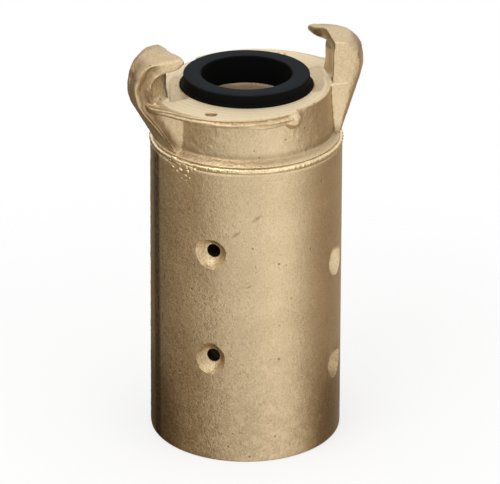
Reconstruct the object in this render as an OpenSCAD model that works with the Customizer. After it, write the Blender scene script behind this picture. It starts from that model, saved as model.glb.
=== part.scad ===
// Sandblast hose coupling: claw head, hose sleeve, braze ring and gasket.
// Units are millimetres. The axis is Z, with the hose mouth at z = 0.
// The four columns of clamp screw holes lie on X and Y.

/* [Sleeve] */
// Bore of the hose sleeve, a loose fit on the hose
sleeve_bore = 56; // [50:0.5:62]
// Thickness of the sleeve's wall
sleeve_wall = 6; // [5.4:0.1:7]
// Height from the hose mouth to the joint with the head
sleeve_h = 113.4; // [105:0.5:125]
// Widening of the sleeve's outside towards the mouth, on the radius
sleeve_draft = 0.6; // [0.2:0.1:1]
// Lead-in chamfer inside the hose mouth
mouth_chamfer = 1.2; // [0.5:0.1:2]
// Rounding chamfer outside the hose mouth
mouth_edge = 0.6; // [0.3:0.1:1.5]

/* [Clamp screw holes] */
// Diameter of the clamp screw holes
screw_hole_d = 5; // [4:0.25:5.5]
// Diameter of the countersinks on the outside
countersink_d = 11.6; // [9:0.2:12.5]
// Height of the lower screw holes on Y
row_low = 40; // [30:0.5:50]
// Distance from a lower screw hole to the one above it
row_pitch = 40.5; // [20:0.5:50]
// Distance by which the columns on X sit lower than the columns on Y
row_stagger = 10.5; // [0:0.5:15]

/* [Head] */
// Height from the joint with the sleeve to the flange face
head_h = 18.6; // [18:0.2:20]
// Step back of the head wall from the outside of the sleeve
neck_inset = 4.2; // [3.8:0.1:4.8]
// Widening of the head wall towards its foot
foot_flare = 1.2; // [0.8:0.1:1.8]
// Step back of the shoulder ring from the outside of the sleeve
shoulder_inset = 0.5; // [0.2:0.1:0.8]
// Height of the sloping shoulder ring
shoulder_h = 2.3; // [1.5:0.1:3]
// Diameter of the passage through the head
passage_d = 32; // [30:0.5:34]
// Depth of the head's spigot inside the sleeve
spigot_h = 5; // [4:0.5:10]
// Step from the sleeve's bore out to the seat of the spigot
spigot_step = 0.6; // [0.4:0.1:1]
// Clearance between the spigot and its seat in the sleeve, on the diameter
spigot_gap = 0.2; // [0.12:0.02:0.3]

/* [Cam ledges] */
// Reach of a cam ledge beyond the head wall, about the centre of its curve
ledge_w = 4.7; // [3.9:0.1:5.2]
// Distance of the centre of that curve from the axis
ledge_shift = 4.6; // [4:0.1:5]
// Thickness of a cam ledge at its free end
ledge_t = 2.5; // [2.2:0.1:3]
// Extra thickness gained towards the claw by the sloping underside
ledge_rise = 1.4; // [0.8:0.1:2]
// Diameter of the round stop bead at the free end
bead_d = 6.6; // [5.8:0.1:7.2]

/* [Safety pin holes] */
// Diameter of the safety pin holes
pin_hole_d = 3.6; // [3:0.2:4]
// Distance of the safety pin holes beyond the head wall
pin_out = 1.5; // [1.2:0.1:2]
// Turn of the safety pin holes away from the claws, in degrees
pin_turn = 49.6; // [42:0.2:60]

/* [Claws] */
// Turn of the claws away from the nearest columns of screw holes, in degrees
claw_turn = 39; // [0:1:90]
// Height of the claw top above the flange face
claw_top = 17.4; // [17:0.2:18.2]
// Largest thickness of a claw, outside its inner wall
claw_t = 7.3; // [6.9:0.1:8.3]
// Extra radius of a claw's inner wall over the curve of a cam ledge
claw_gap = 2; // [1.6:0.1:2.4]
// Distance of the centre of that inner wall from the axis
wall_shift = 7.9; // [7:0.1:8.4]
// Height of the hook's underside above the flange face, at the inner wall
hook_z = 11.4; // [10.8:0.1:11.8]
// Distance by which the hook's tip face reaches in over the head wall
tip_in = 0.1; // [0:0.1:0.5]
// Rise of the hook's underside for each millimetre towards the axis
hook_rise = 0.55; // [0.45:0.05:0.6]
// Distance of the claws' leading face from their middle plane
lead_t = 10.4; // [9.6:0.2:11]

/* [Gasket] */
// Diameter of the gasket's wide foot
gasket_foot_d = 46.8; // [45:0.1:48]
// Diameter of the gasket's narrow neck
gasket_neck_d = 44.6; // [42:0.1:44.8]
// Clearance between the gasket's foot and its seat, on the diameter
gasket_gap = 0.4; // [0.2:0.05:0.6]
// Depth of the gasket seat below the flange face
seat_depth = 7; // [6:0.2:9.4]
// Height of the gasket above the flange face
gasket_proud = 4.2; // [3:0.1:5]
// Height of the wide foot above the flange face
foot_proud = 0.4; // [0.1:0.1:0.8]
// Rounding of the gasket's edges
gasket_edge = 0.5; // [0.3:0.1:0.8]

/* [Braze ring] */
// Width and height of the groove that holds the braze
braze_w = 1.6; // [1:0.1:2]
// Height by which the braze stands out of the groove
braze_crown = 0.35; // [0.2:0.05:0.6]

/* [Hidden] */
face_z = sleeve_h + head_h;
bore_r = sleeve_bore / 2;
sleeve_r = bore_r + sleeve_wall;
mouth_r = sleeve_r + sleeve_draft;
spigot_seat_r = bore_r + spigot_step;
spigot_r = spigot_seat_r - spigot_gap / 2;
neck_r = sleeve_r - neck_inset;
foot_r = neck_r + foot_flare;
shoulder_r = sleeve_r - shoulder_inset;
ledge_r = neck_r + ledge_w;
thickest_ledge = ledge_t + ledge_rise;
pin_r = neck_r + pin_out;
wall_r = ledge_r + claw_gap;
claw_r = wall_r + claw_t;
claw_foot = 1.2 - head_h;
tip_r = neck_r - tip_in;
reach = 2 * claw_r;
passage_r = passage_d / 2;
seat_r = (gasket_foot_d + gasket_gap) / 2;
brass = [0.80, 0.66, 0.42];
cast_brass = [0.85, 0.71, 0.47];
braze_colour = [0.93, 0.81, 0.56];
rubber = [0.13, 0.15, 0.17];

// Angles, all measured anticlockwise from a claw's middle
ledge_from = 16;
ledge_to = 108;
ledge_centre = -14;
bead_at = 104.5;
tip_turn = 21.5;
wall_centre = 120.5;

// Thin upright plate, whose points are measured outwards from the head wall and up from the flange face
module plate(y, points) {
    translate([neck_r, y + 0.05, 0])
    rotate([90, 0, 0])
    linear_extrude(height = 0.1)
    polygon(points);
}

// Wedge of a disc between two angles, taller and wider than the head
module wedge(from, to, low, high) {
    translate([0, 0, low])
    rotate([0, 0, from])
    rotate_extrude(angle = to - from, $fn = 96)
    square([reach, high - low]);
}

// Sleeve that the hose is pushed into
module hose_sleeve() {
    color(brass)
    difference() {
        rotate_extrude($fn = 160)
        polygon([
            [bore_r + mouth_chamfer, 0],
            [mouth_r - mouth_edge, 0],
            [mouth_r, mouth_edge],
            [sleeve_r, sleeve_h - braze_w],
            [sleeve_r - braze_w, sleeve_h],
            [spigot_seat_r, sleeve_h],
            [spigot_seat_r, sleeve_h - spigot_h],
            [bore_r, sleeve_h - spigot_h],
            [bore_r, mouth_chamfer]
        ]);
        for (turn = [0, 180], z = [row_low, row_low + row_pitch]) {
            screw_hole(turn, z - row_stagger);
            screw_hole(turn + 90, z);
        }
    }
}

// Clamp screw hole with its countersink, at a turn about the axis and a height
module screw_hole(turn, z) {
    sink = (countersink_d - screw_hole_d) / 2;
    surface_r = mouth_r - sleeve_draft * z / sleeve_h;
    rotate([0, 0, turn])
    translate([0, 0, z])
    rotate([0, 90, 0]) {
        translate([0, 0, bore_r - 2])
        cylinder(h = sleeve_r - bore_r + 4, d = screw_hole_d, $fn = 48);
        translate([0, 0, surface_r - sink])
        cylinder(h = sink + 2, r1 = screw_hole_d / 2, r2 = countersink_d / 2 + 2, $fn = 48);
    }
}

// Turned body of the head without its claws
module head_body() {
    rotate_extrude($fn = 160)
    polygon([
        [passage_r, sleeve_h - spigot_h],
        [bore_r - 0.1, sleeve_h - spigot_h],
        [spigot_r, sleeve_h - spigot_h + 0.6],
        [spigot_r, sleeve_h],
        [shoulder_r, sleeve_h],
        [foot_r, sleeve_h + shoulder_h],
        [neck_r, face_z - 4],
        [neck_r, face_z],
        [seat_r, face_z],
        [seat_r, face_z - seat_depth],
        [passage_r, face_z - seat_depth]
    ]);
}

// Cam ledge whose radius and thickness grow towards its own claw
module cam_ledge() {
    turn = ledge_centre;
    translate([0, 0, face_z])
    difference() {
        intersection() {
            translate([ledge_shift * cos(turn), ledge_shift * sin(turn), -6])
            cylinder(h = 6, r = ledge_r, $fn = 160);
            wedge(ledge_from, ledge_to, -6, 0);
        }
        translate([0, 0, -ledge_t])
        rotate([0, 0, 62])
        rotate([-atan(ledge_rise / 40), 0, 0])
        translate([0, -50, -10])
        cube([50, 100, 10 - ledge_rise / 2]);
        translate([0, 0, -10])
        cylinder(h = 20, r = neck_r - 2, $fn = 96);
    }
    rotate([0, 0, bead_at])
    translate([neck_r + 0.4, 0, face_z - bead_d / 2 - 0.2])
    rotate([0, 90, 0])
    difference() {
        union() {
            sphere(d = bead_d, $fn = 48);
            translate([0, 0, -3.4])
            cylinder(h = 3.4, d = bead_d, $fn = 48);
        }
        translate([0, 0, bead_d / 2 - 0.15])
        cylinder(h = 2, d = bead_d, $fn = 48);
    }
}

// Outside of a claw, from its foot to its top, around its outer ridge
module claw_outside() {
    r = claw_r - neck_r;
    foot = claw_foot;
    top = claw_top;
    hull() {
        plate(-12.2, [[-2.8, foot], [1.1, foot], [2, -12], [-2.3, -12]]);
        plate(-8, [[-1.3, -3], [5.6, -4.6], [9.3, 1], [10.1, 6], [8.9, 10.6], [4.8, 14.6], [-0.4, 15.4]]);
        plate(1, [
            [-1.8, foot], [3.7, foot], [5.3, -14.3], [8.9, -7.4],
            [r - 0.9, -1], [r, 2.5], [r, 6], [r - 0.9, 10.6], [r - 2.3, 13],
            [r - 4.8, top - 2], [r - 6.5, top - 1], [r - 9.7, top], [-2, top - 0.3]
        ]);
        plate(lead_t, [
            [-2.4, hook_z + 3], [-2.4, hook_z + 3.9], [-1.4, hook_z + 4.6],
            [2.7, 15.3], [6.2, 13.5], [8.2, 10.6], [9.4, 7.4],
            [10.1, 4.5], [10, 0], [6.2, -7], [-1.8, -7]
        ]);
        plate(13.5, [[-2.8, foot], [0.6, foot], [1.2, -13], [-2.3, -13]]);
    }
}

// Space inside a claw that the other coupling's cam ledge turns through
module mating_space() {
    translate([wall_shift * cos(wall_centre), wall_shift * sin(wall_centre), 0])
    rotate_extrude($fn = 160)
    polygon([
        [0, 0],
        [0, hook_z + hook_rise * wall_r],
        [wall_r, hook_z],
        [wall_r, 0]
    ]);
    translate([0, 0, -25])
    cylinder(h = 26, r = neck_r - 2, $fn = 96);
    translate([0, 0, hook_z + 0.2])
    intersection() {
        translate([0, -reach / 2, 0])
        cube([tip_r, reach, 2 * claw_top]);
        rotate([0, 0, tip_turn])
        translate([0, -reach / 2, 0])
        cube([tip_r - 0.5, reach, 2 * claw_top]);
    }
}

// One claw with its inner wall and hook
module claw() {
    translate([0, 0, face_z])
    difference() {
        claw_outside();
        mating_space();
    }
}

// Head with its seat, cam ledges and claws
module claw_head() {
    color(cast_brass)
    difference() {
        union() {
            head_body();
            for (turn = [0, 180])
                rotate([0, 0, claw_turn + turn]) {
                    cam_ledge();
                    claw();
                }
        }
        for (turn = [0, 180])
            rotate([0, 0, claw_turn + pin_turn + turn])
            translate([pin_r, 0, face_z - thickest_ledge - 0.4])
            cylinder(h = thickest_ledge + 2, d = pin_hole_d, $fn = 40);
        translate([0, 0, face_z - seat_depth])
        cylinder(h = seat_depth + 1, r = seat_r, $fn = 160);
    }
}

// Braze that fills the groove between the sleeve and the head
module braze_ring() {
    color(braze_colour)
    rotate_extrude($fn = 160)
    polygon([
        [sleeve_r - braze_w, sleeve_h],
        [sleeve_r, sleeve_h - braze_w],
        [sleeve_r + braze_crown * 0.7, sleeve_h - braze_w * 0.8],
        [sleeve_r + braze_crown, sleeve_h - braze_w * 0.5],
        [sleeve_r + braze_crown * 0.6, sleeve_h - braze_w * 0.15],
        [shoulder_r, sleeve_h]
    ]);
}

// Rubber gasket, which stands proud so that two couplings seal face to face
module gasket() {
    neck = gasket_neck_d / 2;
    foot = gasket_foot_d / 2;
    e = gasket_edge;
    color(rubber)
    translate([0, 0, face_z])
    rotate_extrude($fn = 160)
    polygon([
        [passage_r, -seat_depth],
        [foot - e, -seat_depth],
        [foot, -seat_depth + e],
        [foot, foot_proud - e],
        [foot - e * 0.3, foot_proud - e * 0.3],
        [foot - e, foot_proud],
        [neck, foot_proud],
        [neck, gasket_proud - e],
        [neck - e * 0.3, gasket_proud - e * 0.3],
        [neck - e, gasket_proud],
        [passage_r + e, gasket_proud],
        [passage_r, gasket_proud - e]
    ]);
}

hose_sleeve();
claw_head();
braze_ring();
gasket();
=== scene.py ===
import math

import bpy
import numpy as np
from mathutils import Matrix, Vector, noise


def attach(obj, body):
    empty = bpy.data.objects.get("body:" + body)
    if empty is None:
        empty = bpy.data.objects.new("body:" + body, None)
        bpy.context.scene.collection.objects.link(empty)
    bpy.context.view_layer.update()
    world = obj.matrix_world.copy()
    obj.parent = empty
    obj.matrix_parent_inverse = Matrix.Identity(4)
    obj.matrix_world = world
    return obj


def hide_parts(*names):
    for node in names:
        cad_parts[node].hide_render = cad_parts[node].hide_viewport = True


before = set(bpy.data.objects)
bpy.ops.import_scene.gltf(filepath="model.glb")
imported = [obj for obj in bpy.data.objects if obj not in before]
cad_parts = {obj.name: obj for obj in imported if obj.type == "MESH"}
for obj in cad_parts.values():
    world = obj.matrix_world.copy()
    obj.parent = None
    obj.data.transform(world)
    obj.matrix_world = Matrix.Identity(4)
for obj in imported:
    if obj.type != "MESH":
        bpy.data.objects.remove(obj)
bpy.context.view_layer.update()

# One millimetre, in metres
MM = 0.001

# Heights on the part, in millimetres: flange face, joint of sleeve and head, spigot, and gasket
FACE_Z = 132.0
JOINT_Z = 113.4
SPIGOT_Z = 108.4
SEAT_Z = 125.0
GASKET_STEP_Z = FACE_Z + 0.4
GASKET_TOP_Z = FACE_Z + 4.2

# Radii on the part, in millimetres
BORE_R = 28.0
SPIGOT_SEAT_R = 28.6
SLEEVE_R = 34.0
MOUTH_R = 34.6
NECK_R = 29.8
SEAT_R = 23.6
PASSAGE_R = 16.0
GASKET_FOOT_R = 23.4
GASKET_NECK_R = 22.3
SCREW_R = 2.5
COUNTERSINK_R = 5.8

# Cam ledges, in millimetres: how far their lips are rolled out, how far they reach along Y,
# and the height of a bead's middle above the flange
LIP_R = 36.2
LEDGE_REACH = 36.4
BEAD_UP = -3.5

# Azimuth of the first claw in degrees, and of the centre of a claw's inner wall counted from the claw,
# with the wall's radius and the distance of its centre from the axis in millimetres
CLAW_TURN = 39.0
WALL_TURN = 120.5
WALL_R = 36.5
WALL_SHIFT = 7.9

# Heights of the screw holes on the sides and in front, and width of the braze, in millimetres
SIDE_ROWS = (29.5, 70.0)
FRONT_ROWS = (40.0, 80.5)
BRAZE_W = 1.6

# Cells that the head is grown from, in millimetres
VOXEL = 0.32

# Floor, in millimetres: its radius, and where it fades into the white
FLOOR_R = 300.0
FLOOR_FADE = (120.0, 260.0)

# Direction across the part to its roughest and darkest side
ROUGH_SIDE = (-0.93, -0.36)

# Lumps of spatter under one claw, and a half turn on under the other: azimuth in degrees, then height
# and half-width in millimetres
SPATTER = [(-116.5, 112.4, 1.9), (-113.0, 111.6, 1.5), (-111.0, 109.6, 1.0), (-108.0, 111.4, 1.7),
           (-105.5, 109.8, 0.9), (-103.5, 111.4, 1.3), (-107.0, 108.0, 0.7), (-113.8, 108.6, 0.8),
           (-100.5, 111.2, 0.9), (-110.0, 106.6, 0.5), (-104.0, 107.5, 0.5), (-117.5, 109.6, 0.9),
           (-115.2, 110.6, 0.8), (-109.4, 112.2, 1.1), (-106.3, 106.2, 0.4), (-119.4, 111.6, 1.0)]

# How far the leading end of a claw stands out beyond the solid, by height above the flange,
# at its inner wall and at its outer side
INNER_OPENING = ([-4.0, -1.0, 1.5, 5.0, 8.5, 11.1, 12.7], [0.0, 3.0, 5.6, 6.3, 5.3, 3.0, 0.0])
OUTER_OPENING = ([-17.0, -12.0, -5.4, 2.0, 7.5, 11.0, 15.0, 17.5],
                 [0.0, 1.0, 1.8, 2.9, 4.1, 4.1, 3.5, 1.0])

# Middle line of the dish in a claw's leading side: outward and up from the flange
VALLEY = [(37.0, 12.8), (40.8, 6.0), (38.9, -2.1), (35.2, -9.0), (31.5, -15.0)]

# Camera, placed as for the photograph
CAMERA_AZIMUTH = math.radians(21.25)
CAMERA_ELEVATION = math.radians(24.148)
CAMERA_ROLL = math.radians(0.25)
CAMERA_DISTANCE = 1.2197
CAMERA_TARGET = Vector((0.001358, 0.000528, 0.070947))
CAMERA_LENS = 244.85

# Dark marks on the sleeve: azimuth in degrees, height and half-length in millimetres
MARKS = [(-62.3, 94.9, 2.2), (-74.5, 88.8, 2.0), (-66.8, 69.0, 1.2)]

# Walls of the studio as metal sees them: the first level, and steps that change it between two
# azimuths, in degrees to the right of the camera
FIRST_WALL = 0.2
WALL_STEPS = [(-150, -140, -0.2), (-122, -112, 0.32), (-46, -26, 0.72), (-15, -5, -0.20), (8, 25, 0.38),
              (58, 78, -0.74), (98, 118, -0.12), (132, 150, 0.15)]
# Level of the sky as metal sees it, and of the even light on everything else
SKY_LEVEL = 1.0
PLAIN_LEVEL = 0.95

# Lamps: name, azimuth from the camera and elevation in degrees, distance and size in metres, power
LAMPS = [("key", -35, 50, 0.9, 0.5, 1.6), ("fill", 45, 35, 1.0, 0.6, 0.8)]

# Colours, as linear red, green and blue
BRASS = (0.66, 0.515, 0.32, 1)
# Dark brass of dark patches, pits and marks, and of painted shade in the cove, the claws' dishes and the
# passage
BRASS_DARK = (0.30, 0.20, 0.10, 1)
BRASS_PALE = (0.86, 0.73, 0.50, 1)
# Near-black brown of painted shade inside the sleeve and at its lower sides, and of a painted dark
# reflection band
PAINTED_SHADE = (0.045, 0.03, 0.018, 1)
BRAZE = (0.86, 0.71, 0.46, 1)
RUBBER = (0.002, 0.002, 0.002, 1)
# Paler rubber of a painted sheen of light on the gasket's top
RUBBER_PAINTED_SHEEN = (0.010, 0.0135, 0.0175, 1)
WARM_SHADE = (1.0, 0.77, 0.52, 1)
WHITE = (1.0, 1.0, 1.0, 1)


class Value:
    """An output of a node that takes part in sums."""

    def __init__(self, tree, socket):
        self.tree = tree
        self.socket = socket

    def maths(self, operation, *inputs):
        """The result of one Math node."""
        node = self.tree.nodes.new("ShaderNodeMath")
        node.operation = operation
        for socket, value in zip(node.inputs, inputs):
            feed(self.tree, socket, value)
        return Value(self.tree, node.outputs[0])

    def __add__(self, other):
        return self.maths("ADD", self, other)

    __radd__ = __add__

    def __mul__(self, other):
        return self.maths("MULTIPLY", self, other)

    __rmul__ = __mul__

    def __sub__(self, other):
        return self.maths("SUBTRACT", self, other)

    def __rsub__(self, other):
        return self.maths("SUBTRACT", other, self)

    def __truediv__(self, other):
        return self.maths("DIVIDE", self, other)

    def __pow__(self, other):
        return self.maths("POWER", self, other)

    def step(self, low, high, start=0.0, end=1.0):
        """start below low, end above high, and a smooth ramp between them."""
        node = self.tree.nodes.new("ShaderNodeMapRange")
        node.interpolation_type = "SMOOTHSTEP"
        for socket, value in zip(node.inputs, (self, low, high, start, end)):
            feed(self.tree, socket, value)
        return Value(self.tree, node.outputs[0])


def feed(tree, socket, value):
    """Links a socket to another node's output, or writes a plain value on it."""
    if isinstance(value, Value):
        tree.links.new(value.socket, socket)
    else:
        socket.default_value = value


def off_axis(x, y):
    """Distance from the Z axis."""
    return (x ** 2.0 + y ** 2.0) ** 0.5


class Tree:
    """The node tree of a material or of the world."""

    def __init__(self, owner):
        owner.use_nodes = True
        self.tree = owner.node_tree

    def add(self, kind, settings=(), output=0, **inputs):
        """Adds a node with its settings, then its inputs, and gives one output."""
        node = self.tree.nodes.new("ShaderNode" + kind)
        for name, value in dict(settings).items():
            setattr(node, name, value)
        for name, value in inputs.items():
            feed(self.tree, node.inputs[name.replace("_", " ")], value)
        return Value(self.tree, node.outputs[output])

    def mix(self, factor, first, second):
        """A colour between two colours."""
        node = self.tree.nodes.new("ShaderNodeMix")
        node.data_type = "RGBA"
        for index, value in ((0, factor), (6, first), (7, second)):
            feed(self.tree, node.inputs[index], value)
        return Value(self.tree, node.outputs[2])

    def vector(self, operation, first, second, output=0):
        """Two vectors through one Vector Math node."""
        node = self.tree.nodes.new("ShaderNodeVectorMath")
        node.operation = operation
        feed(self.tree, node.inputs[0], first)
        feed(self.tree, node.inputs[1], second)
        return Value(self.tree, node.outputs[output])

    def place(self, stretch=(1.0, 1.0, 1.0)):
        """Position on the part in millimetres, stretched along each axis."""
        metres = self.add("TexCoord", output="Object")
        return self.vector("MULTIPLY", metres, tuple(s / MM for s in stretch))

    def split(self, vector):
        """The three parts of a vector."""
        return [self.add("SeparateXYZ", output=i, Vector=vector) for i in range(3)]

    def noise(self, place, scale, detail=2.0, roughness=0.5, distortion=0.0):
        """Noise between 0 and 1."""
        return self.add("TexNoise", Vector=place, Scale=scale, Detail=detail,
                        Roughness=roughness, Distortion=distortion)

    def spots(self, place, scale, size):
        """1 inside scattered spots, 0 outside."""
        far = self.add("TexVoronoi", Vector=place, Scale=scale)
        return far.step(size * 0.5, size, 1.0, 0.0)

    def mark(self, place, azimuth, level, size):
        """1 inside a short slanting mark on the sleeve, 0 outside."""
        turn = math.radians(azimuth)
        x, y, z = self.split(place)
        along = x * -math.sin(turn) + y * math.cos(turn)
        out = (x * math.cos(turn) + y * math.sin(turn)).step(20.0, 25.0)
        up = z - level
        long = (along * 0.8 + up * 0.6) / size
        across = (up * 0.8 - along * 0.6) / (size * 0.3)
        return (long ** 2.0 + across ** 2.0).step(0.2, 1.4, 1.0, 0.0) * out

    def shine(self, colour, metallic, roughness, height):
        """Feeds the surface with its colour, shine and height in millimetres."""
        surface = self.tree.nodes["Principled BSDF"]
        bump = self.add("Bump", Strength=1.0, Distance=MM, Height=height)
        feed(self.tree, surface.inputs["Base Color"], colour)
        feed(self.tree, surface.inputs["Metallic"], metallic)
        feed(self.tree, surface.inputs["Roughness"], roughness)
        feed(self.tree, surface.inputs["Normal"], bump)


def cast_brass(name, grain, turned=False):
    """Sand-cast brass with dark patches, grain, pits and painted shade, and turning marks on the flange if
    turned.
    """
    material = bpy.data.materials.new(name)
    t = Tree(material)
    p = t.place()
    x, y, z = t.split(p)
    radius = off_axis(x, y)
    left = (x * ROUGH_SIDE[0] + y * ROUGH_SIDE[1]) / SLEEVE_R
    patches = t.noise(p, 0.07, 3.0)
    blotches = t.noise(p, 0.30, 4.0, 0.6)
    ripples = t.noise(t.place((1.0, 1.0, 0.7)), 0.95, 4.0, 0.62, 0.6)
    sand = t.noise(p, 1.5, 4.0, 0.7)
    pits = t.spots(p, 0.22, 0.13) * t.noise(p, 0.1, 1.0).step(0.45, 0.6)
    rough_side = (left + (patches - 0.5) * 1.6).step(-0.2, 0.75, 0.25, 1.0)
    height = (ripples - 0.5) * rough_side * (0.33 * grain) + (sand - 0.5) * (0.12 * grain)
    height = height + (blotches - 0.5) * 0.03 - pits * 0.12
    # Painted shade: low darkens the sleeve towards the bottom, and corners darkens its lower left and right
    # sides as seen from the camera
    low = z.step(0.0, 75.0, 1.0, 0.0)
    corners = z.step(4.0, 42.0, 1.0, 0.0) * (left ** 2.0).step(0.35, 0.85)
    # Dark patches, ripple troughs and sand, with the painted shade of low and corners mixed in
    dirt_and_painted_shade = (ripples.step(0.30, 0.50, 1.0, 0.0) * rough_side * z.step(85.0, 110.0, 0.6, 0.2)
            + patches.step(0.35, 0.65, 0.14, 0.0) + low * blotches.step(0.3, 0.7) * 0.4
            + low * rough_side * 0.3 + corners + sand.step(0.3, 0.5, 0.35, 0.0))
    colour = t.mix(dirt_and_painted_shade, BRASS, BRASS_DARK)
    worn = blotches.step(0.5, 0.75, 0.0, 0.15) + sand.step(0.52, 0.72, 0.0, 0.45)
    colour = t.mix(worn, colour, BRASS_PALE)
    colour = t.mix(pits * 0.8, colour, BRASS_DARK)
    roughness = 0.31 + rough_side * 0.08 + (sand - 0.5) * 0.14
    if turned:
        on_face = z.step(FACE_Z - 0.15, FACE_Z - 0.03) * z.step(FACE_Z + 0.3, FACE_Z + 0.6, 1.0, 0.0)
        on_face = on_face * radius.step(35.0, 36.5, 1.0, 0.0)
        streaks = t.noise(t.add("CombineXYZ", X=radius * 2.2, Y=blotches * 0.6), 1.0, 3.0, 0.7)
        colour = t.mix(on_face * streaks.step(0.35, 0.6, 0.35, 0.85), colour, BRASS_PALE)
        height = height * (1.0 - on_face * 0.5) + (streaks - 0.5) * on_face * 0.06
        # Painted shade in the cove just above the joint
        painted_cove_shade = z.step(JOINT_Z + 0.5, JOINT_Z + 1.6) * z.step(JOINT_Z + 2.6, JOINT_Z + 5.0, 1.0, 0.0)
        colour = t.mix(painted_cove_shade * (0.35 + patches * 0.3), colour, BRASS_DARK)
        # Painted shade in the dish of each claw's leading side, and a painted dark reflection on its upper
        # outer flank
        painted_dish_shade = t.add("Attribute", {"attribute_name": "painted_claw_shade_and_reflection"}, output=2)
        colour = t.mix(painted_dish_shade * patches.step(0.3, 0.6, 0.6, 0.95), colour, BRASS_DARK)
        # Painted shade down the passage under the gasket, which is also made less metallic and rougher
        inside = radius.step(PASSAGE_R + 0.1, PASSAGE_R + 0.4, 1.0, 0.0)
        colour = t.mix(inside * 0.4, colour, BRASS_DARK)
        metallic = 1.0 - on_face * 0.65 - inside * 0.75
        roughness = roughness + on_face * 0.25 + inside * 0.25
    else:
        # The inside of the sleeve and the deep part of its screw holes, which get painted shade below
        inside = radius.step(SLEEVE_R - 3.7, SLEEVE_R - 3.3, 1.0, 0.0) * z.step(1.0, 2.5)
        # Painted reflection: a dark band down the sleeve's left edge on the side that faces the camera
        facing = (x * -ROUGH_SIDE[1] + y * ROUGH_SIDE[0]).step(-2.0, 2.0)
        painted_dark_band = left.step(0.88, 0.91) * left.step(0.94, 0.97, 1.0, 0.0) * facing
        painted_dark_band = painted_dark_band * z.step(JOINT_Z - 3.0, JOINT_Z - 1.0, 1.0, 0.0)
        colour = t.mix(painted_dark_band * ripples.step(0.3, 0.6, 0.25, 0.85), colour, PAINTED_SHADE)
        for azimuth, level, size in MARKS:
            depth = t.mark(p, azimuth, level, size) * ripples.step(0.3, 0.55, 0.25, 0.6)
            colour = t.mix(depth, colour, BRASS_DARK)
        # Painted shade inside the sleeve, and more at its lower left and right sides
        colour = t.mix(inside, colour, PAINTED_SHADE)
        colour = t.mix(corners * 0.3, colour, PAINTED_SHADE)
        metallic = 1.0
        roughness = roughness + inside * 0.4
    t.shine(colour, metallic, roughness, height)
    return material


def braze_metal(name):
    """Bright braze that has run and set."""
    material = bpy.data.materials.new(name)
    t = Tree(material)
    p = t.place()
    runs = t.noise(p, 0.5, 3.0)
    sand = t.noise(p, 2.2, 3.0)
    colour = t.mix(runs.step(0.35, 0.6, 0.5, 0.0), BRAZE, BRASS)
    t.shine(colour, 1.0, 0.26 + (sand - 0.5) * 0.2, (sand - 0.5) * 0.06 + (runs - 0.5) * 0.15)
    return material


def black_rubber(name):
    """Moulded rubber with a painted sheen of light in patches on its top."""
    material = bpy.data.materials.new(name)
    t = Tree(material)
    p = t.place()
    x, y, z = t.split(p)
    radius = off_axis(x, y)
    patches = t.noise(p, 0.15, 4.0, 0.6)
    grain = t.noise(p, 3.0, 3.0, 0.6)
    # Painted sheen: the top of the gasket is paler in patches, as where light falls on it
    painted_top_sheen = z.step(GASKET_TOP_Z - 0.5, GASKET_TOP_Z - 0.1) * radius.step(PASSAGE_R + 0.2, PASSAGE_R + 0.9)
    colour = t.mix(painted_top_sheen * patches.step(0.2, 0.7, 0.5, 1.0), RUBBER, RUBBER_PAINTED_SHEEN)
    t.shine(colour, 0.0, 0.68 + (patches - 0.5) * 0.2, (grain - 0.5) * 0.03)
    t.tree.nodes["Principled BSDF"].inputs["Specular IOR Level"].default_value = 0.07
    return material


def lathe(profile, segments=256, closed=True):
    """Corners and faces of a profile of radius and height turned about Z, in millimetres."""
    turns = np.arange(segments) * (2 * math.pi / segments)
    corners = [(r * math.cos(a), r * math.sin(a), z) for a in turns for r, z in profile]
    return corners, turned_faces(segments, len(profile), closed)


def turned_faces(segments, count, closed=True):
    """Faces between the copies of a profile with count corners."""
    faces = []
    for i in range(segments):
        here = i * count
        there = (i + 1) % segments * count
        for j in range(count if closed else count - 1):
            k = (j + 1) % count
            faces.append((here + j, there + j, there + k, here + k))
    return faces


def piece(name, corners, faces, material, angle=35.0):
    """A mesh given in millimetres, smooth except at edges sharper than the angle."""
    mesh = bpy.data.meshes.new(name)
    mesh.from_pydata([tuple(c * MM for c in corner) for corner in corners], [], faces)
    obj = bpy.data.objects.new(name, mesh)
    bpy.context.scene.collection.objects.link(obj)
    finish_mesh(obj, mesh, material, angle)
    return obj


def finish_mesh(obj, mesh, material, angle):
    """Gives the object its mesh, with one material, and sharp only at edges over the angle."""
    obj.data = mesh
    mesh.materials.clear()
    mesh.materials.append(material)
    mesh.shade_smooth()
    mesh.set_sharp_from_angle(angle=math.radians(angle))


def applied(obj):
    """The mesh of an object with its modifiers."""
    graph = bpy.context.evaluated_depsgraph_get()
    mesh = bpy.data.meshes.new_from_object(obj.evaluated_get(graph))
    obj.modifiers.clear()
    return mesh


def cut(obj, cutters, material, angle=35.0):
    """Takes the cutters away from the object."""
    for cutter in cutters:
        modifier = obj.modifiers.new("cut", "BOOLEAN")
        modifier.operation = "DIFFERENCE"
        modifier.solver = "EXACT"
        modifier.object = cutter
    mesh = applied(obj)
    for cutter in cutters:
        bpy.data.objects.remove(cutter)
    finish_mesh(obj, mesh, material, angle)


def roughen(mesh, amount, size, seed=0.0):
    """Moves each vertex along its normal by noise. amount gives millimetres for places in millimetres."""
    points, normals = vertex_data(mesh)
    reach = amount(points)
    shift = Vector((seed, seed, seed))
    for i in np.nonzero(np.abs(reach) > 0.001)[0]:
        bump = noise.noise(Vector(points[i] / size) + shift)
        bump += 0.5 * noise.noise(Vector(points[i] * 2.1 / size) + shift)
        points[i] += normals[i] * (bump * reach[i])
    put_points(mesh, points)


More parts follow.
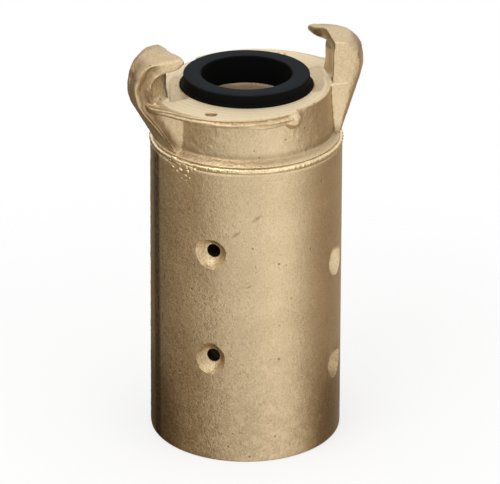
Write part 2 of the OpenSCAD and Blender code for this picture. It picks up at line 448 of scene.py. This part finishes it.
def vertex_data(mesh):
    """Places in millimetres and normals of the vertices."""
    points = np.empty(len(mesh.vertices) * 3)
    normals = np.empty(len(mesh.vertices) * 3)
    mesh.vertices.foreach_get("co", points)
    mesh.vertices.foreach_get("normal", normals)
    return points.reshape(-1, 3) / MM, normals.reshape(-1, 3)


def put_points(mesh, points):
    """Moves the vertices to places in millimetres."""
    mesh.vertices.foreach_set("co", (points * MM).ravel())
    mesh.update()


def ripple(points):
    """How far the cast skin of the sleeve ripples, most on its left and low down."""
    radius = np.hypot(points[:, 0], points[:, 1])
    left = (points[:, 0] * ROUGH_SIDE[0] + points[:, 1] * ROUGH_SIDE[1]) / SLEEVE_R
    outside = ramp(radius, SLEEVE_R - 0.3, SLEEVE_R - 0.1)
    clear_of_ends = ramp(points[:, 2], 0.5, 2.0) * ramp(-points[:, 2], 2.0 - JOINT_Z, 4.0 - JOINT_Z)
    return -outside * clear_of_ends * (0.03 + 0.09 * ramp(left, 0.0, 0.8))


def hose_sleeve(material):
    """Sleeve with a rounded lower edge and its screw holes."""
    top = JOINT_Z - BRAZE_W

    def outer(z):
        return MOUTH_R + (SLEEVE_R - MOUTH_R) * z / top

    rows = [(outer(z), z) for z in np.linspace(2.0, top - 1.6, 110)]
    inside = [(BORE_R, z) for z in np.linspace(SPIGOT_Z, 1.3, 30)]
    rim = [(29.2, 0.0), (33.8, 0.0), (34.25, 0.1), (34.5, 0.4), (34.58, 0.9)]
    groove = [(outer(top) - 0.02, top - 1.1), (outer(top) - 0.30, top - 0.6), (SLEEVE_R - 0.05, top - 0.05)]
    profile = rim + rows + groove + [
        (SLEEVE_R - 0.1, top), (SLEEVE_R - BRAZE_W, JOINT_Z),
        (SPIGOT_SEAT_R, JOINT_Z), (SPIGOT_SEAT_R, SPIGOT_Z),
    ] + inside
    corners, faces = lathe(profile, 300)
    sleeve = piece("sleeve_wall", corners, faces, material)
    cutters = []
    columns = [(0, SIDE_ROWS), (90, FRONT_ROWS), (180, SIDE_ROWS), (270, FRONT_ROWS)]
    for turn, rows in columns:
        for row in rows:
            cutter = screw_hole(material, outer(row), turn + row)
            cutter.matrix_world = (Matrix.Rotation(math.radians(turn), 4, "Z")
                                   @ Matrix.Translation((0, 0, row * MM))
                                   @ Matrix.Rotation(math.radians(90), 4, "Y"))
            cutters.append(cutter)
    cut(sleeve, cutters, material, 30.0)
    roughen(sleeve.data, ripple, 1.6)
    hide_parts("hose_sleeve")
    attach(sleeve, "coupling")


def screw_hole(material, surface, seed):
    """Cutter of a hole and its hand-cut countersink, whose rim is uneven.

    Its axis is Z, and surface is the height of the countersink's rim.
    """
    sink = COUNTERSINK_R - SCREW_R
    profile = [(0.0, BORE_R - 2.0), (SCREW_R, BORE_R - 2.0), (SCREW_R, surface - sink)]
    profile += [(SCREW_R + 0.1, surface - sink + 0.05)]
    steps = [i / 8 for i in range(1, 9)]
    profile += [(SCREW_R + 0.1 + (sink + 0.2) * s, surface - sink + (sink + 0.3) * s ** 1.35) for s in steps]
    profile += [(COUNTERSINK_R + 2.0, surface + 2.4), (0.0, surface + 2.4)]
    corners, faces = lathe(profile, 72)
    bent = []
    for x, y, z in corners:
        depth = (z - surface + sink) / sink
        if 0.1 < depth < 1.6:
            turn = math.atan2(y, x)
            sway = 0.045 * math.sin(2 * turn + seed) + 0.03 * math.sin(3 * turn - seed)
            sway += 0.015 * math.sin(7 * turn)
            lobes = 0.03 * math.cos(3 * turn + 0.02 * seed) * math.sin(math.pi * min(depth, 1.0))
            grow = 1.0 + sway * min(depth, 1.0) + lobes
            x, y = x * grow, y * grow
        bent.append((x, y, z))
    return piece("cutter", bent, faces, material)


def neighbours_mean(points, edges, count):
    """For each point, the mean of the points it shares an edge with."""
    a, b = edges[:, 0], edges[:, 1]
    total = np.empty_like(points)
    for axis in range(3):
        total[:, axis] = (np.bincount(a, points[b, axis], len(points))
                          + np.bincount(b, points[a, axis], len(points)))
    return total / count[:, None]


def softened(mesh, weight, rounds):
    """Rounds the edges of a mesh where its weight is above 0."""
    points, _ = vertex_data(mesh)
    edges = np.empty(len(mesh.edges) * 2, dtype=int)
    mesh.edges.foreach_get("vertices", edges)
    edges = edges.reshape(-1, 2)
    count = np.bincount(edges.ravel(), minlength=len(points)).astype(float)
    strength = weight(points)[:, None] * 0.5
    for _ in range(rounds):
        points += strength * (neighbours_mean(points, edges, count) - points)
    put_points(mesh, points)


def ramp(value, low, high):
    """0 below low, 1 above high, and a smooth ramp between them."""
    t = np.clip((value - low) / (high - low), 0.0, 1.0)
    return t * t * (3.0 - 2.0 * t)


def casting_weight(p):
    """Where the head is cast, not turned."""
    radius = np.hypot(p[:, 0], p[:, 1])
    outside = ramp(radius, SEAT_R + 0.8, SEAT_R + 2.0)
    above_shoulder = ramp(p[:, 2], JOINT_Z + 0.2, JOINT_Z + 1.2)
    return outside * above_shoulder


def claw_weight(p):
    """Where the head is a claw, which has the softest edges."""
    radius = np.hypot(p[:, 0], p[:, 1])
    hook = ramp(p[:, 2], FACE_Z + 1.5, FACE_Z + 4.0) * ramp(radius, 27.0, 28.5)
    return np.maximum(ramp(radius, 35.2, 37.5), hook)


def claw_frame(points):
    """Places as seen from the nearer claw: outward, to its leading side, up from the flange, and which."""
    turn = math.radians(CLAW_TURN)
    outward = points[:, 0] * math.cos(turn) + points[:, 1] * math.sin(turn)
    side = np.where(outward < 0, -1.0, 1.0)
    lead = (points[:, 1] * math.cos(turn) - points[:, 0] * math.sin(turn)) * side
    return outward * side, lead, points[:, 2] - FACE_Z, side


def ledge_azimuth(outward, lead):
    """Azimuth from the claw that a place's cam ledge belongs to, in degrees."""
    azimuth = np.degrees(np.arctan2(lead, outward))
    return np.where(azimuth < -60.0, azimuth + 180.0, azimuth)


def from_claw_frame(outward, lead, up, side):
    """Places on the part, from places as seen from a claw."""
    turn = math.radians(CLAW_TURN)
    x = (outward * math.cos(turn) - lead * math.sin(turn)) * side
    y = (outward * math.sin(turn) + lead * math.cos(turn)) * side
    return np.column_stack([x, y, up + FACE_Z])


def line_distance(u, v, line):
    """Distance of the places u, v from a bent line."""
    best = np.full(len(u), 1e9)
    for (u0, v0), (u1, v1) in zip(line, line[1:]):
        du, dv = u1 - u0, v1 - v0
        t = np.clip(((u - u0) * du + (v - v0) * dv) / (du * du + dv * dv), 0.0, 1.0)
        best = np.minimum(best, np.hypot(u - u0 - t * du, v - v0 - t * dv))
    return best


def valley_distance(outward, up):
    """Distance from the middle line of the dish in a claw's leading side."""
    return line_distance(outward, up, VALLEY)


def hollow_leading_side(outward, lead, up, normal_lead):
    """The dished leading side of a claw, as a distance along the claw's leading direction."""
    away = valley_distance(outward, up)
    facing = ramp(normal_lead, 0.35, 0.75)
    return -2.0 * np.exp(-(away / 2.0) ** 2) * facing * ramp(lead, 3.0, 6.0)


def flange_fillet(outward, lead, up, round_r=3.8):
    """Fillet between the flange and the inner wall of a claw: new outward, lead and up."""
    turn = math.radians(WALL_TURN)
    centre = (WALL_SHIFT * math.cos(turn), WALL_SHIFT * math.sin(turn))
    u, v = outward - centre[0], lead - centre[1]
    far = np.hypot(u, v)
    gap = WALL_R - far
    azimuth = np.degrees(np.arctan2(lead, outward))
    near = (gap > -0.6) & (gap < round_r) & (up > -0.5) & (up < round_r)
    reach = np.hypot(round_r - gap, round_r - up)
    pull = np.where(near & (reach > round_r), round_r / np.maximum(reach, 0.1), 1.0)
    pull = 1.0 + (pull - 1.0) * ramp(azimuth, -17.0, -12.0) * ramp(-azimuth, -26.0, -20.0)
    new_gap = round_r + (gap - round_r) * pull
    new_up = round_r + (up - round_r) * pull
    grow = (WALL_R - new_gap) / np.maximum(far, 0.1)
    return centre[0] + u * grow, centre[1] + v * grow, np.where(pull < 1.0, new_up, up)


def open_leading_end(outward, lead, up):
    """How far the leading end of a claw, and the flange before it, stand further out."""
    inner = np.interp(up, *INNER_OPENING)
    outer = np.interp(up, *OUTER_OPENING)
    inner = inner * ramp(lead, 5.5, 10.5)
    bulge = ramp(up, 0.0, 2.0) * ramp(-up, -12.5, -10.0)
    inner = inner - 1.7 * bulge * ramp(lead, -6.0, 3.5) * ramp(-lead, -8.0, -4.5)
    outer = outer * ramp(lead, 2.0, 10.0)
    move = inner + (outer - inner) * np.interp(outward, [32.5, 38.0], [0.0, 1.0])
    return move * ramp(outward, 24.5, 32.0) * ramp(-lead, -18.5, -11.5)


def thicken_tip(outward, lead, up):
    """The blunt tip of a hook at its leading end: how far it reaches in and up."""
    tip = ramp(-outward, -34.0, -29.5) * ramp(lead, 0.0, 8.0) * ramp(up, 10.0, 11.2)
    return 1.7 * tip, np.interp(up, [11.0, 13.0, 14.5, 16.0], [-1.1, -0.8, -0.3, -0.1]) * tip


def pocket(outward, lead):
    """Shallow pocket in the flange between the gasket and a claw: 1 inside it."""
    radius = np.hypot(outward, lead)
    azimuth = np.degrees(np.arctan2(lead, outward))
    edge = np.interp(azimuth, [-40.0, -5.6, 5.1, 16.0], [26.2, 27.7, 29.4, 31.9])
    return ramp(edge - radius, 0.0, 0.5) * ramp(azimuth, -40.0, -22.0) * ramp(-azimuth, -17.5, -15.5)


def shape_bead(azimuth, radius, up):
    """New heights that thicken a cam ledge beside its bead and draw in the bead's lower half."""
    web = ramp(azimuth, 70.0, 88.0) * ramp(-azimuth, -104.0, -100.0)
    web = web * ramp(-up, 1.2, 2.2) * ramp(up, -4.5, -3.3)
    up = up - web * ramp(radius, NECK_R + 0.2, NECK_R + 0.8)
    at_bead = ramp(azimuth, 92.0, 96.0) * ramp(-azimuth, -117.0, -113.0) * ramp(up, -10.0, -7.5)
    return up + 0.24 * np.maximum(BEAD_UP - up, 0.0) * at_bead


def shape_casting(mesh):
    """Gives the head the hollows, fillets and pockets of the casting, and returns its painted shade and
    reflection.
    """
    points, normals = vertex_data(mesh)
    outward, lead, up, side = claw_frame(points)
    turn = math.radians(CLAW_TURN)
    lead_n = (normals[:, 1] * math.cos(turn) - normals[:, 0] * math.sin(turn)) * side
    radius = np.hypot(outward, lead)
    azimuth = ledge_azimuth(outward, lead)
    on_face = ramp(normals[:, 2], 0.8, 0.95) * ramp(up, -0.6, -0.2) * ramp(-up, -0.6, -0.2)
    outward, lead, up = flange_fillet(outward, lead, up)
    inward, higher = thicken_tip(outward, lead, up)
    outward = outward + open_leading_end(outward, lead, up) - inward
    up = up + higher
    lead = lead + hollow_leading_side(outward, lead, up, lead_n)
    up = up - 0.5 * pocket(outward, lead) * on_face * ramp(radius, SEAT_R - 0.5, SEAT_R)
    at_passage = ramp(-radius, -18.0, -17.2) * ramp(up, -7.4, -7.1) * ramp(-up, 6.5, 6.8)
    up = up + at_passage
    up = shape_bead(azimuth, radius, up)
    put_points(mesh, from_claw_frame(outward, lead, up, side))
    # Painted shade in the dish of the leading side, and a painted dark reflection along the top of the outer
    # flank
    dish = np.exp(-(valley_distance(outward, up) / 2.2) ** 2) * ramp(lead, 4.0, 7.0) * ramp(lead_n, 0.2, 0.6)
    crown = 0.7 * ramp(outward, 36.5, 40.0) * ramp(up, 7.0, 10.0) * ramp(-up, -16.5, -14.0)
    return np.maximum(dish, crown)


def shape_ledge_edge(mesh):
    """Rolls the edge of each cam ledge into two lips with a groove between them."""
    points, normals = vertex_data(mesh)
    outward, lead, up, side = claw_frame(points)
    radius = np.hypot(outward, lead)
    azimuth = ledge_azimuth(outward, lead)
    lip = np.exp(-((up + 1.95) / 0.5) ** 2)
    groove = np.exp(-((up + 1.05) / 0.33) ** 2)
    rolled = 0.6 * lip - 0.6 * groove
    rolled = rolled * ramp(radius, NECK_R + 0.9, NECK_R + 1.8) * ramp(azimuth, 18.0, 26.0)
    rolled = rolled * ramp(-azimuth, -104.0, -99.0) * ramp(-np.abs(normals[:, 2]), -0.95, -0.75)
    reach = np.minimum(radius + rolled, np.maximum(radius, LIP_R))
    grow = reach / np.maximum(radius, 1.0)
    put_points(mesh, from_claw_frame(outward * grow, lead * grow, up, side))


def bead_weight(p):
    """Where a cam ledge ends in its bead."""
    outward, lead, up, _ = claw_frame(p)
    azimuth = ledge_azimuth(outward, lead)
    around = ramp(azimuth, 82.0, 90.0) * ramp(-azimuth, -116.0, -112.0)
    on_ledge = ramp(np.hypot(outward, lead), NECK_R - 0.6, NECK_R)
    return around * on_ledge * ramp(up, -8.5, -7.5) * ramp(-up, 0.0, 0.4)


def casting_skin(p):
    """How far the skin of the head is uneven, in millimetres."""
    radius = np.hypot(p[:, 0], p[:, 1])
    below_face = ramp(-p[:, 2], 0.5 - FACE_Z, 1.2 - FACE_Z)
    cast = np.maximum(below_face * ramp(radius, NECK_R - 1.0, NECK_R - 0.5), claw_weight(p))
    return 0.10 * cast * ramp(p[:, 2], JOINT_Z + 0.3, JOINT_Z + 1.0)


def lip_skin(p):
    """How far the skin of the cam ledges' lower lip is uneven, in millimetres."""
    radius = np.hypot(p[:, 0], p[:, 1])
    lip = ramp(p[:, 2], FACE_Z - 3.2, FACE_Z - 2.6) * ramp(-p[:, 2], 0.9 - FACE_Z, 1.3 - FACE_Z)
    return 0.16 * lip * ramp(radius, NECK_R + 1.0, NECK_R + 1.8) * ramp(-radius, -36.0, -35.5)


def keep_in_reach(mesh):
    """Holds the uneven skin inside the widest place of the cam ledges, which is along Y."""
    points, _ = vertex_data(mesh)
    points[:, 1] = np.clip(points[:, 1], -LEDGE_REACH, LEDGE_REACH)
    put_points(mesh, points)


def claw_head(material):
    """Head grown from its solid, with the rounded edges of a casting."""
    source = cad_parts["claw_head"]
    head = bpy.data.objects.new("head_casting", source.data.copy())
    bpy.context.scene.collection.objects.link(head)
    remesh = head.modifiers.new("remesh", "REMESH")
    remesh.mode = "VOXEL"
    remesh.voxel_size = VOXEL * MM
    mesh = applied(head)
    painted_claw_shade_and_reflection = shape_casting(mesh)
    mesh.attributes.new("painted_claw_shade_and_reflection", "FLOAT", "POINT").data.foreach_set("value", painted_claw_shade_and_reflection)
    softened(mesh, casting_weight, 7)
    softened(mesh, claw_weight, 12)
    softened(mesh, bead_weight, 40)
    shape_ledge_edge(mesh)
    roughen(mesh, casting_skin, 2.2, 3.0)
    roughen(mesh, lip_skin, 0.8, 7.0)
    keep_in_reach(mesh)
    finish_mesh(head, mesh, material, 60.0)
    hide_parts("claw_head")
    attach(head, "coupling")


def braze_ring(material):
    """Uneven bead of braze along the joint, with a run of spatter under each claw."""
    segments = 900
    arc = [(-1.7, -1.7), (-0.25, -1.65), (0.05, -1.5), (0.22, -1.2), (0.30, -0.85), (0.22, -0.5),
           (0.0, -0.2), (-0.5, 0.05), (-1.7, -0.1)]
    corners = []
    for i in range(segments):
        a = 2 * math.pi * i / segments
        around = Vector((math.cos(a), math.sin(a), 0.0))
        swell = 1.0 + 0.8 * noise.noise(around * 22.0) + 0.6 * noise.noise(around * 60.0)
        sway = 0.22 * noise.noise(around * 9.0 + Vector((5, 0, 0)))
        for out, up in arc:
            radius = SLEEVE_R + out * (swell if out > 0 else 1.0)
            lift = sway if out > -0.3 else 0.0
            corners.append((radius * around.x, radius * around.y, JOINT_Z + up + lift))
    faces = turned_faces(segments, len(arc))
    for turn in (0.0, 180.0):
        for azimuth, z, size in SPATTER:
            add_lump(corners, faces, azimuth + turn, z, size)
    ring = piece("braze_bead", corners, faces, material, 70.0)
    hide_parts("braze_ring")
    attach(ring, "coupling")


def add_lump(corners, faces, azimuth, z, size):
    """Flat lump of metal on the outside of the sleeve."""
    start = len(corners)
    a = math.radians(azimuth)
    out = Vector((math.cos(a), math.sin(a), 0.0))
    along = Vector((-math.sin(a), math.cos(a), 0.0))
    centre = out * (SLEEVE_R - 0.05) + Vector((0, 0, z))
    rings, spokes = 5, 14
    for i in range(rings + 1):
        tilt = math.pi * (i / rings - 0.5)
        for j in range(spokes):
            turn = 2 * math.pi * j / spokes
            wave = 1.0 + 0.35 * noise.noise(Vector((azimuth + math.cos(turn), z + math.sin(turn), i * 0.4)))
            place = centre + along * (math.cos(tilt) * math.cos(turn) * size * wave)
            place += Vector((0, 0, math.cos(tilt) * math.sin(turn) * size * 0.7 * wave))
            place += out * (math.sin(tilt) * min(size * 0.35, 0.45))
            corners.append(tuple(place))
    for i in range(rings):
        for j in range(spokes):
            k = (j + 1) % spokes
            low = start + i * spokes
            faces.append((low + j, low + k, low + spokes + k, low + spokes + j))
    faces.append(tuple(start + j for j in range(spokes))[::-1])
    faces.append(tuple(start + rings * spokes + j for j in range(spokes)))


def gasket(material):
    """Gasket with softly rounded edges."""
    edge = 0.5
    low, mid, high = SEAT_Z, GASKET_STEP_Z, GASKET_TOP_Z

    def corner(r, z, dr, dz, steps=5):
        """Quarter round at a corner, from the direction dz to the direction dr."""
        turns = [math.pi / 2 * i / steps for i in range(steps + 1)]
        return [(r + dr * edge * (1 - math.sin(a)), z + dz * edge * (1 - math.cos(a))) for a in turns]

    profile = [(PASSAGE_R, low + 1.1), (PASSAGE_R + 2.0, low + 1.1)]
    profile += [(PASSAGE_R + 2.0, low), (GASKET_FOOT_R, low)]
    profile += corner(GASKET_FOOT_R, mid, -1, -1)[::-1]
    profile += [(GASKET_NECK_R + 0.3, mid), (GASKET_NECK_R, mid + 0.3)]
    profile += corner(GASKET_NECK_R, high, -1, -1)[::-1]
    profile += corner(PASSAGE_R, high, 1, -1)
    corners, faces = lathe(profile, 192)
    ring = piece("gasket_rubber", corners, faces, material, 40.0)
    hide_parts("gasket")
    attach(ring, "gasket")


def studio_world():
    """White for the camera, and bright and dark walls for reflections."""
    world = bpy.data.worlds.new("studio")
    bpy.context.scene.world = world
    t = Tree(world)
    x, y, z = t.split(t.add("TexCoord", output="Generated"))
    front = math.sin(CAMERA_AZIMUTH) * x - math.cos(CAMERA_AZIMUTH) * y
    right = math.cos(CAMERA_AZIMUTH) * x + math.sin(CAMERA_AZIMUTH) * y
    around = right.maths("ARCTAN2", right, front) * math.degrees(1.0)
    walls = FIRST_WALL
    for start, end, change in WALL_STEPS:
        walls = around.step(start, end, 0.0, change) + walls
    sky = z.step(-0.12, 0.25)
    walls = walls + sky * (SKY_LEVEL - walls)
    shade = t.mix(walls.step(0.25, 1.0), WARM_SHADE, WHITE)
    glossy = t.add("LightPath", output="Is Glossy Ray")
    camera = t.add("LightPath", output="Is Camera Ray")
    colour = t.vector("MULTIPLY", shade, t.add("CombineXYZ", X=walls, Y=walls, Z=walls))
    colour = t.mix(glossy, (PLAIN_LEVEL, PLAIN_LEVEL, PLAIN_LEVEL, 1), colour)
    colour = t.mix(camera, colour, WHITE)
    background = t.tree.nodes["Background"]
    feed(t.tree, background.inputs["Color"], colour)
    background.inputs["Strength"].default_value = 1.0


def studio_floor():
    """Pale floor that keeps the shadow and fades into the white around it."""
    material = bpy.data.materials.new("floor_paper")
    t = Tree(material)
    x, y, _ = t.split(t.place())
    radius = off_axis(x, y)
    white = t.add("Emission", Color=(1, 1, 1, 1), Strength=1.0)
    paper = t.add("BsdfDiffuse", Color=(0.9, 0.9, 0.9, 1))
    lit = t.add("MixShader", Fac=0.35)
    mixer = lit.socket.node
    t.tree.links.new(white.socket, mixer.inputs[1])
    t.tree.links.new(paper.socket, mixer.inputs[2])
    clear = t.add("BsdfTransparent")
    glossy = t.add("LightPath", output="Is Glossy Ray")
    gone = radius.step(*FLOOR_FADE) + glossy
    final = t.add("MixShader", Fac=gone.step(0.0, 1.0)).socket.node
    t.tree.links.new(lit.socket, final.inputs[1])
    t.tree.links.new(clear.socket, final.inputs[2])
    t.tree.links.new(final.outputs[0], t.tree.nodes["Material Output"].inputs["Surface"])
    corners, faces = lathe([(0.0, -0.05), (FLOOR_R, -0.05)], 96, closed=False)
    floor = piece("floor", corners, faces, material)


def lamp(name, azimuth, elevation, distance, size, power):
    """Soft square lamp that faces the part. Azimuth is counted from the camera, to the right."""
    turn = CAMERA_AZIMUTH + math.radians(azimuth)
    tilt = math.radians(elevation)
    way = Vector((math.sin(turn) * math.cos(tilt), -math.cos(turn) * math.cos(tilt), math.sin(tilt)))
    data = bpy.data.lights.new(name, "AREA")
    data.shape = "SQUARE"
    data.size = size
    data.energy = power
    obj = bpy.data.objects.new(name, data)
    obj.location = Vector((0, 0, 0.08)) + way * distance
    obj.rotation_euler = way.to_track_quat("Z", "Y").to_euler()
    bpy.context.scene.collection.objects.link(obj)


def camera():
    """Camera at the photograph's place."""
    data = bpy.data.cameras.new("camera")
    data.sensor_width = 36.0
    data.lens = CAMERA_LENS
    data.clip_start = 0.05
    obj = bpy.data.objects.new("camera", data)
    way = Vector((math.sin(CAMERA_AZIMUTH) * math.cos(CAMERA_ELEVATION),
                  -math.cos(CAMERA_AZIMUTH) * math.cos(CAMERA_ELEVATION),
                  math.sin(CAMERA_ELEVATION)))
    obj.location = CAMERA_TARGET + way * CAMERA_DISTANCE
    roll = Matrix.Rotation(CAMERA_ROLL, 3, "Z")
    obj.rotation_euler = (way.to_track_quat("Z", "Y").to_matrix() @ roll).to_euler()
    bpy.context.scene.collection.objects.link(obj)
    bpy.context.scene.camera = obj


hose_sleeve(cast_brass("sleeve_brass", 1.0))
claw_head(cast_brass("cast_brass", 0.9, turned=True))
braze_ring(braze_metal("braze"))
gasket(black_rubber("gasket_rubber"))
studio_world()
studio_floor()
for settings in LAMPS:
    lamp(*settings)
camera()
bpy.context.scene.view_settings.view_transform = "Standard"
